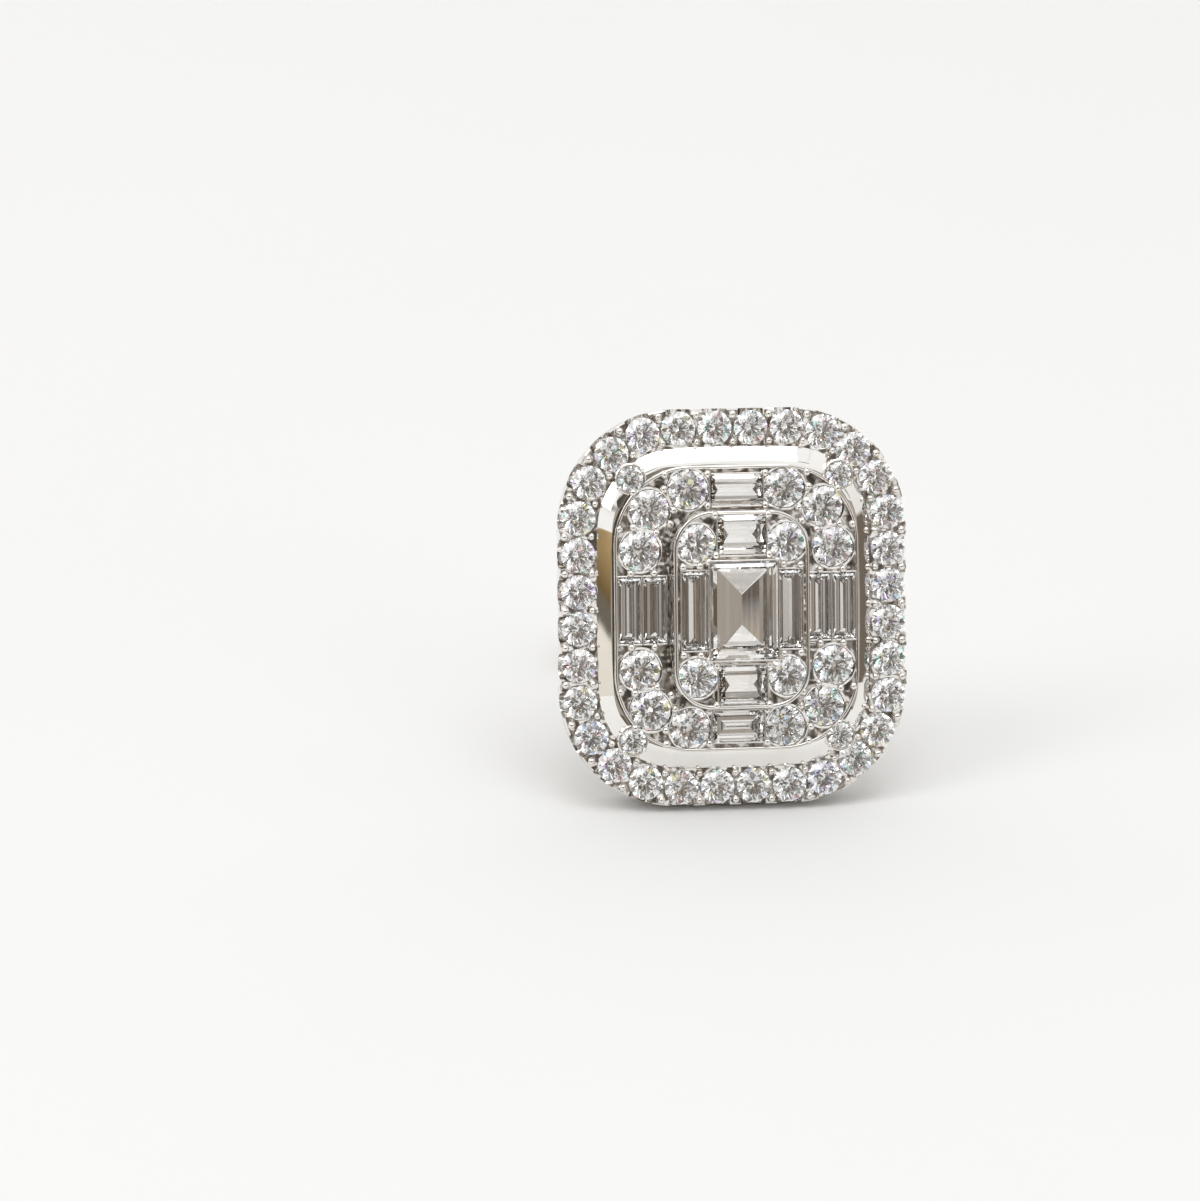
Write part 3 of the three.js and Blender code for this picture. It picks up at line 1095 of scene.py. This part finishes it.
    def step_seats(self, nodes: Sequence[str]) -> list[bpy.types.Object]:
        """Seats for the step cuts of some CAD nodes."""
        seats = []
        for node in nodes:
            at, size = self.stones.shape_of(node)
            plan = Plan(size.x + self.step_room, size.y + self.step_room, 0.01)
            narrow = min(size.x, size.y)
            seat = Bench.block("seat", plan, at.z - 0.2 * narrow - 0.03, at.z + 1)
            Bench.terrace(seat, False, [(0.34 * narrow, 0.42 * narrow)])
            seat.data.transform(Matrix.Translation((at.x, at.y, 0)))
            seats.append(seat)
        return seats

    def halo_frame(self, cutter: bpy.types.Object) -> None:
        """The halo's metal, with its seats, the groove inside it and the recess in its back."""
        frame_piece = Bench.block("halo_frame", self.plan, self.shoulder, -self.edge)
        wall = self.shoulder - self.back
        rim = self.recess_rim - self.back_inset
        Bench.terrace(frame_piece, False, [(self.back_inset, wall), (rim, 0.0), (0, -self.recess)])
        groove = [(self.edge, self.edge), (self.band - self.edge, 0.0), (0, self.groove)]
        Bench.terrace(frame_piece, True, groove)
        with Bench.editing(frame_piece):
            Bench.pick(frame_piece, Part.EDGE, lambda e: Bench.is_rim(e, self.back))
            bpy.ops.mesh.bevel(offset=self.back_bevel, segments=3, profile=0.5, affect="EDGES")
        arch = self.arch_cutter()
        size, level = self.stones.pave_size, self.stones.pave_level
        seats = []
        for x, y, out in self.stones.pave_places(self.plan):
            place = Matrix.Translation((x, y, level))
            seats.append(Bench.copy(cutter, "seat", place @ Matrix.Scale(size, 4)))
            seats.append(Bench.copy(arch, "arch", place @ Matrix.Rotation(out, 4, "Z")))
        Bench.scrap(arch)
        Bench.carve(frame_piece, Bench.joined("seats", seats))
        plain = [p.index for p in frame_piece.data.polygons if p.normal.z < self.upright]
        self.metal(frame_piece, self.finishes.cut_gold)
        frame_piece.data.materials.append(self.finishes.gold)
        for index in plain:
            frame_piece.data.polygons[index].material_index = 1

    def seated_tier(self, tier: bpy.types.Object, cutter: bpy.types.Object, words: Sequence[str]) -> None:
        """Cuts a tier's seats and dresses it.

        Args:
            tier: the tier.
            cutter: the brilliants' seat cutter.
            words: the CAD nodes whose names hold one of these have their seats in it.
        """
        rounds = [n for n in self.stones.round_nodes() if any(word in n for word in words)]
        steps = [n for n in self.stones.step_nodes() if any(word in n for word in words)]
        seats = self.round_seats(cutter, rounds) + self.step_seats(steps)
        Bench.carve(tier, Bench.joined("seats", seats))
        # The tiers' finish carries painted shade in its dark clouds.
        self.metal(tier, self.finishes.deep_gold)

    def tiers(self, cutter: bpy.types.Object) -> None:
        """The polished skirt with the outer tier, and the inner tier."""
        foot = self.plan.inset(self.band + self.skirt_gap)
        skirt = Bench.block("skirt", foot, self.root, self.skirt_foot)
        Bench.bow(skirt, foot, self.skirt_bow)
        for step in self.skirt:
            Bench.terrace(skirt, True, [step])
            Bench.draw_in(skirt, self.skirt_draw)
        Bench.terrace(skirt, True, self.SKIRT_HOLLOW)
        Bench.carve(skirt, Bench.joined("seats", self.round_seats(cutter, self.bridge_nodes())))
        self.metal(skirt, self.finishes.mirror_gold)
        outer = Bench.block("outer_tier", self.outer.inset(self.outer_inset), self.root, self.outer_level)
        self.seated_tier(outer, cutter, ("outer", "bridge", "side", "centre"))
        plan = self.inner.inset(-self.inner_flare)
        inner = Bench.block("inner_tier", plan, self.inner_root, self.outer_level)
        Bench.terrace(inner, True, self.INNER_STEPS)
        self.seated_tier(inner, cutter, ("inner", "flank", "centre"))

    def bridge_nodes(self) -> list[str]:
        """The CAD nodes of the bridges' stones."""
        return [n for n in self.stones.round_nodes() if n.startswith("bridge")]

    def wires(self, cutter: bpy.types.Object) -> None:
        """The rounded rims along the edges of the tiers."""
        level, (below, above) = self.inner_level, self.INNER_RIM
        plan = self.inner.inset(-self.wire_flare)
        inner = Bench.wire("inner_wire", plan, self.inner_wire, level - below, level + above)
        level, (below, above) = self.outer_level, self.OUTER_RIM
        outer = Bench.wire("outer_wire", self.outer, self.outer_wire, level - below, level + above)
        Bench.carve(outer, Bench.joined("seats", self.round_seats(cutter, self.bridge_nodes())))
        self.metal(Bench.joined("tier_wires", [inner, outer]))

    def collets(self) -> None:
        """The thin walls round the step cuts, which reach up past their girdles."""
        walls = []
        for node in self.stones.step_nodes():
            at, size = self.stones.shape_of(node)
            crown = 0.12 * min(size.x, size.y)
            plan = Plan(size.x + self.collet_room, size.y + self.collet_room, 0.05)
            low, high = at.z - crown - self.collet_depth, at.z - 0.35 * crown
            wall = Bench.wire(f"wall_{node}", plan, self.collet, low, high)
            wall.data.transform(Matrix.Translation((at.x, at.y, 0)))
            walls.append(wall)
        self.metal(Bench.joined("step_collets", walls))

    def lips(self) -> None:
        """The thin round rims of the brilliants' seats."""
        bpy.ops.object.select_all(action="DESELECT")
        middle, thick = self.lip
        bpy.ops.mesh.primitive_torus_add(
            major_segments=40, minor_segments=8, major_radius=middle, minor_radius=thick
        )
        model = Bench.named("lip_model")
        rims = []
        for node in self.stones.round_nodes():
            at, size = self.stones.shape_of(node)
            level = at.z - self.stones.cut.crown * size.x - self.stones.sunk
            place = Matrix.Translation((at.x, at.y, level)) @ Matrix.Scale(size.x, 4)
            rims.append(Bench.copy(model, "lip", place))
        Bench.scrap(model)
        self.metal(Bench.joined("round_lips", rims))

    def bead_model(self, name: str, radius: float, stem: float) -> bpy.types.Object:
        """A prong or bead: a short post with a domed head.

        Args:
            name: its name.
            radius: its radius.
            stem: how long the post is below the head.

        Returns:
            The model, its head's top at level 0.
        """
        bpy.ops.object.select_all(action="DESELECT")
        middle = -radius - stem / 2
        bpy.ops.mesh.primitive_cylinder_add(vertices=14, radius=radius, depth=stem, location=(0, 0, middle))
        post = Bench.named(name)
        rings = [(radius * math.cos(a), radius * math.sin(a)) for a in self.DOME]
        Bench.terrace(post, True, [(r0 - r1, z1 - z0) for (r0, z0), (r1, z1) in zip(rings, rings[1:])])
        return post

    def prongs(self) -> None:
        """The cluster's prongs: those that two brilliants share, and those at the step cuts' corners."""
        model = self.bead_model("prong_model", *self.prong)
        reach, rise = self.shared
        places: list[tuple[float, float, float]] = []
        for sx in (1, -1):
            for sy in (1, -1):
                corner = f"{'upper' if sy > 0 else 'lower'}_{'right' if sx > 0 else 'left'}"
                spots = [self.stones.shape_of(f"outer_round_{k}_{corner}")[0] for k in (1, 2, 3)]
                for first, second in zip(spots, spots[1:]):
                    middle, along = (first + second) / 2, (second - first).xy.normalized()
                    for side in (reach, -reach):
                        x, y = middle.x - side * along.y, middle.y + side * along.x
                        places.append((x, y, self.outer_level + rise))
                places += [(sx * x, sy * y, self.outer_level + up) for x, y, up in self.OUTER_PRONGS]
                places += [(sx * x, sy * y, self.inner_level + up) for x, y, up in self.INNER_PRONGS]
        posts = [Bench.copy(model, "prong", Matrix.Translation(place)) for place in places]
        Bench.scrap(model)
        self.metal(Bench.joined("prongs", posts))

    def halo_beads(self) -> None:
        """The beads that hold the halo's stones, in pairs between them."""
        model = self.bead_model("bead_model", *self.bead)
        line = self.plan.inset(self.stones.pave_inset)
        beads = []
        for k in range(self.stones.pave_count):
            x, y, out = line.walk(k / self.stones.pave_count)
            for reach, size in self.HALO_BEADS:
                place = (x + reach * math.cos(out), y + reach * math.sin(out), self.BEAD_LEVEL)
                beads.append(Bench.copy(model, "bead", Matrix.Translation(place) @ Matrix.Scale(size, 4)))
        Bench.scrap(model)
        self.metal(Bench.joined("halo_beads", beads))

    def bridges(self, cutter: bpy.types.Object) -> None:
        """The small cups that bridge the groove at its corners, each with its beads."""
        bead = self.bead_model("bridge_bead", *self.bridge_bead)
        parts = []
        for node in self.bridge_nodes():
            at, size = self.stones.shape_of(node)
            level = at.z - self.stones.cut.crown * size.x
            bpy.ops.object.select_all(action="DESELECT")
            depth = level - self.groove
            middle = (at.x, at.y, (level + self.groove) / 2)
            bpy.ops.mesh.primitive_cylinder_add(vertices=40, radius=self.cup, depth=depth, location=middle)
            cup = Bench.named("cup")
            Bench.terrace(cup, True, [(0.03, 0.02)])
            Bench.carve(cup, Bench.joined("seats", self.round_seats(cutter, [node])))
            parts.append(cup)
            out = math.atan2(at.y, at.x)
            for turn in (out, out + math.pi / 2, out + math.pi, out - math.pi / 2):
                x, y = at.x + self.cup_reach * math.cos(turn), at.y + self.cup_reach * math.sin(turn)
                parts.append(Bench.copy(bead, "bead", Matrix.Translation((x, y, level + 0.09))))
        Bench.scrap(bead)
        self.metal(Bench.joined("corner_bridges", parts))

    def build(self) -> None:
        """All the metal of the face."""
        cutter = self.round_cutter()
        self.halo_frame(cutter)
        self.tiers(cutter)
        self.wires(cutter)
        self.collets()
        self.lips()
        self.prongs()
        self.halo_beads()
        self.bridges(cutter)
        Bench.scrap(cutter)


@dataclass
class Fastening:
    """What is behind the face: the bar, the post on its pad, and the push-on back."""

    face: Face
    finishes: Finishes
    back: float = -1.2
    bar: Plan = Plan(2.4, 9.8, 0.12)
    bar_depth: float = 0.62
    radius: float = 0.45
    pad: float = 1.1
    pad_height: float = 0.25
    # The push-on back's hole and barrel, and how thick its disc is.
    hole: float = 0.5
    barrel: float = 1.3
    disc: float = 0.5

    def bar_and_post(self) -> None:
        """The bar across the back, and the post turned with its pad, fillet, notch and tip."""
        bar = Bench.block("back_bar", self.bar, self.back + 0.03, self.back + self.bar_depth)
        Bench.terrace(bar, False, [(0.03, 0.03)])
        low, _ = self.face.extent("setting")
        r, pad = self.radius, self.pad
        tip = [(0, 0), (0.16, 0.02), (0.32, 0.1), (0.42, 0.22), (r, 0.35)]
        notch = [(r, 0.9), (0.39, 0.98), (0.38, 1.15), (0.39, 1.32), (r, 1.4)]
        fillet = [(r, -0.15), (r + 0.04, -0.05), (r + 0.15, 0)]
        rim = [(pad - 0.1, 0), (pad - 0.03, 0.03), (pad, 0.1)]
        profile = [(out, low.z + z) for out, z in tip + notch]
        profile += [(out, self.back - self.pad_height + z) for out, z in fillet + rim]
        profile += [(pad, self.back + 0.1), (0, self.back + 0.1)]
        post = Bench.turned("ear_post", profile)
        piece = Bench.joined("bar_and_post", [post, bar])
        Bench.soften(piece)
        dressed(piece, self.face, self.finishes.gold, ["setting"])

    def push_back(self) -> None:
        """The push-on back: a disc with a rounded rim, and a waisted barrel."""
        low, high = self.face.extent("friction_back")
        rim, hole, barrel = (high.y - low.y) / 2, self.hole, self.barrel
        mouth = [(hole, 0.04), (hole + 0.05, 0), (0.95, 0), (1.18, 0.08), (barrel, 0.3)]
        waist = [(barrel, 0.75), (1.22, 0.85), (1.22, 1.15), (barrel, 1.25)]
        neck = [(barrel, -0.16), (1.34, -0.06), (1.45, 0), (rim - 0.07, 0), (rim, 0.06)]
        front = [(rim, -0.12), (rim - 0.04, -0.04), (rim - 0.13, 0), (hole + 0.12, 0), (hole, -0.1)]
        profile = [(out, low.z + z) for out, z in mouth + waist]
        profile += [(out, high.z - self.disc + z) for out, z in neck]
        profile += [(out, high.z + z) for out, z in front]
        profile.append(profile[0])
        piece = Bench.turned("push_back", profile, 96)
        Bench.soften(piece)
        dressed(piece, self.face, self.finishes.back, ["friction_back"])

    def build(self) -> None:
        """All that is behind the face."""
        self.bar_and_post()
        self.push_back()


# ---- The stage ----------------------------------------------------------------------


@dataclass(frozen=True)
class Lamp:
    """A soft box: where it stands round the earring, how big and how bright it is."""

    name: str
    azimuth: float
    elevation: float
    distance: float
    width: float
    height: float
    power: float

    def hang(self, at: Vector) -> None:
        """Hangs the lamp, turned towards a point."""
        data = bpy.data.lights.new(self.name, "AREA")
        data.shape, data.size, data.size_y = "RECTANGLE", self.width, self.height
        data.energy = self.power
        lamp = bpy.data.objects.new(self.name, data)
        bpy.context.scene.collection.objects.link(lamp)
        back = direction(self.azimuth, self.elevation)
        lamp.location = at + back * self.distance
        lamp.rotation_mode = "QUATERNION"
        lamp.rotation_quaternion = back.to_track_quat("Z", "Y")


def direction(azimuth: float, elevation: float) -> Vector:
    """The way from the earring to something at an azimuth and an elevation, in degrees."""
    a, e = math.radians(azimuth), math.radians(elevation)
    return Vector((math.sin(a) * math.cos(e), -math.cos(a) * math.cos(e), math.sin(e)))


@dataclass
class Studio:
    """The pale floor, the soft light and the camera."""

    face: Face
    finishes: Finishes
    azimuth: float = -13.0
    elevation: float = 22.4
    roll: float = 3.6
    distance: float = 0.2
    # How much the frame takes in at the earring, and where in it the face's middle is.
    across: float = 0.0339
    off_centre: Point = (0.1115, -0.0054)
    lamps: tuple[Lamp, ...] = (
        Lamp("overhead", 0.0, 80.0, 0.5, 0.3, 0.26, 0.62),
        Lamp("left_window", -70.0, 44.0, 0.45, 0.14, 0.3, 0.34),
    )
    sheet: float = 0.24
    # How much of the sheet is missing on the right.
    short: float = 0.075

    # The surroundings' directions: azimuth and elevation of the middle, where it ends, where it fades.
    VIEWER = (-19.0, 14.0, 37.0, 33.0)
    SILL = (-50.0, 5.0, 27.0, 24.0)
    WINDOW = (-64.0, 6.0, 18.0, 14.0)
    # The tent's colours by height, from its foot up to its crown, and its dark seams and right wall.
    TENT: Stops = (
        (0.0, (0.93, 0.93, 0.92, 1)),
        (0.01, (0.4, 0.36, 0.31, 1)),
        (0.04, (0.55, 0.52, 0.48, 1)),
        (0.12, (0.85, 0.83, 0.8, 1)),
        (0.7, WHITE),
    )
    SEAM: Colour = (0.15, 0.14, 0.13, 1)
    WALL: Colour = (0.17, 0.14, 0.11, 1)
    # The viewer's side, from left to right.
    DARK: Stops = (
        (0.0, (0.07, 0.06, 0.05, 1)),
        (0.45, (0.09, 0.077, 0.066, 1)),
        (0.8, (0.16, 0.138, 0.118, 1)),
        (0.95, (0.42, 0.38, 0.33, 1)),
    )
    # The window's sill by height: pale, then dark, then golden, with the light above it.
    SILL_TOP = (0.148, 0.156)
    PANES: Stops = (
        (0.0, (0.8, 0.77, 0.7, 1)),
        (0.063, (0.86, 0.82, 0.74, 1)),
        (0.068, (0.15, 0.135, 0.11, 1)),
        (0.092, (0.16, 0.14, 0.11, 1)),
        (0.098, (0.17, 0.11, 0.045, 1)),
        (SILL_TOP[0], (0.45, 0.32, 0.16, 1)),
        (SILL_TOP[1], WHITE),
    )

    def floor(self) -> None:
        """A sheet of paper, which ends nearer on the right."""
        bpy.ops.object.select_all(action="DESELECT")
        bpy.ops.mesh.primitive_plane_add(size=self.sheet)
        sheet = Bench.named("floor")
        with Bench.editing(sheet):
            Bench.pick(sheet, Part.VERT, lambda v: v.co.x > 0)
            bpy.ops.transform.translate(value=(-self.short, 0, 0))
        sheet.data.materials.append(self.finishes.paper)

    @staticmethod
    def facing(graph: Graph, where: bpy.types.NodeSocket, part: Sequence[float]) -> Wire:
        """Where the surroundings face a direction.

        Args:
            graph: the world's node tree.
            where: the direction looked in.
            part: the middle's azimuth and elevation, how far from the middle it ends and how far
                from the middle it begins to fade, all in degrees.

        Returns:
            1 near the middle and 0 beyond the edge.
        """
        azimuth, elevation, edge, core = part
        middle = {0: where, 1: direction(azimuth, elevation)}
        near = graph.add("ShaderNodeVectorMath", {"operation": "DOT_PRODUCT"}, middle)
        low, high = (math.cos(math.radians(angle)) for angle in (edge, core))
        return Wire(graph, near.outputs["Value"]).between(low, high)

    def surroundings(self) -> None:
        """A white tent, dark along its foot, with a brown opening where the viewer is."""
        world = bpy.data.worlds.new("room")
        world.use_nodes = True
        bpy.context.scene.world = world
        graph = Graph(world.node_tree)
        where = graph.add("ShaderNodeTexCoord").outputs["Generated"]
        split = graph.add("ShaderNodeSeparateXYZ", None, {0: where})
        up, aside = Wire(graph, split.outputs["Z"]), Wire(graph, split.outputs["X"])
        seams = graph.noise(where, 2.6, 1.0).between(0.56, 0.6) * (1.0 - up.between(0.8, 0.88))
        tent = graph.mixed(seams, graph.ramp(up, self.TENT), self.SEAM)
        right = aside.between(0.8, 0.88) * (1.0 - up.between(0.1, 0.16))
        wall = graph.mixed(right, tent, self.WALL)
        ragged = (graph.noise(where, 3.4, 1.0) - 0.5) * 0.3
        viewer = graph.ramp(aside + 0.7 + ragged, self.DARK)
        opening = graph.mixed(up.between(0.58, 0.66), viewer, WHITE)
        around = graph.mixed(self.facing(graph, where, self.VIEWER), wall, opening)
        panes = graph.ramp(up, self.PANES)
        sill = self.facing(graph, where, self.SILL) * (1.0 - up.between(*self.SILL_TOP))
        around = graph.mixed(sill, around, panes)
        colour = graph.mixed(self.facing(graph, where, self.WINDOW), around, panes)
        shine = graph.add("ShaderNodeBackground", None, {"Color": colour, "Strength": 1.0})
        graph.add("ShaderNodeOutputWorld", None, {"Surface": shine.outputs[0]})

    def camera(self) -> None:
        """The camera, turned so that the face stands where it should in the frame."""
        data = bpy.data.cameras.new("camera")
        data.sensor_width = 36.0
        data.lens = data.sensor_width * self.distance / self.across
        data.clip_start, data.clip_end = 0.01, 10.0
        camera = bpy.data.objects.new("camera", data)
        bpy.context.scene.collection.objects.link(camera)
        back = direction(self.azimuth, self.elevation)
        camera.location = self.face.to_row.translation + back * self.distance
        yaw, pitch = (math.atan(share * self.across / self.distance) for share in self.off_centre)
        aside = Euler((-pitch, yaw, 0.0)).to_quaternion()
        level = back.to_track_quat("Z", "Y")
        camera.rotation_mode = "QUATERNION"
        camera.rotation_quaternion = level @ Quaternion((0, 0, 1), math.radians(self.roll)) @ aside
        bpy.context.scene.camera = camera

    def build(self) -> None:
        """Everything round the earring."""
        self.floor()
        self.surroundings()
        for lamp in self.lamps:
            lamp.hang(self.face.to_row.translation)
        self.camera()
        scene = bpy.context.scene
        scene.view_settings.view_transform = "Standard"
        scene.cycles.max_bounces = 16
        scene.cycles.glossy_bounces = 12
        scene.cycles.transmission_bounces = 16


def main() -> None:
    """Builds the earring and its stage."""
    logging.basicConfig(level=logging.INFO, format="%(name)s: %(message)s")
    face = Face.from_record(frame["record"])
    finishes = Finishes.make()
    stones = Stones(face, finishes)
    setting = Setting(face, finishes, stones)
    setting.build()
    stones.build(setting.plan)
    Fastening(face, finishes).build()
    Studio(face, finishes).build()


if __name__ == "__main__":
    main()
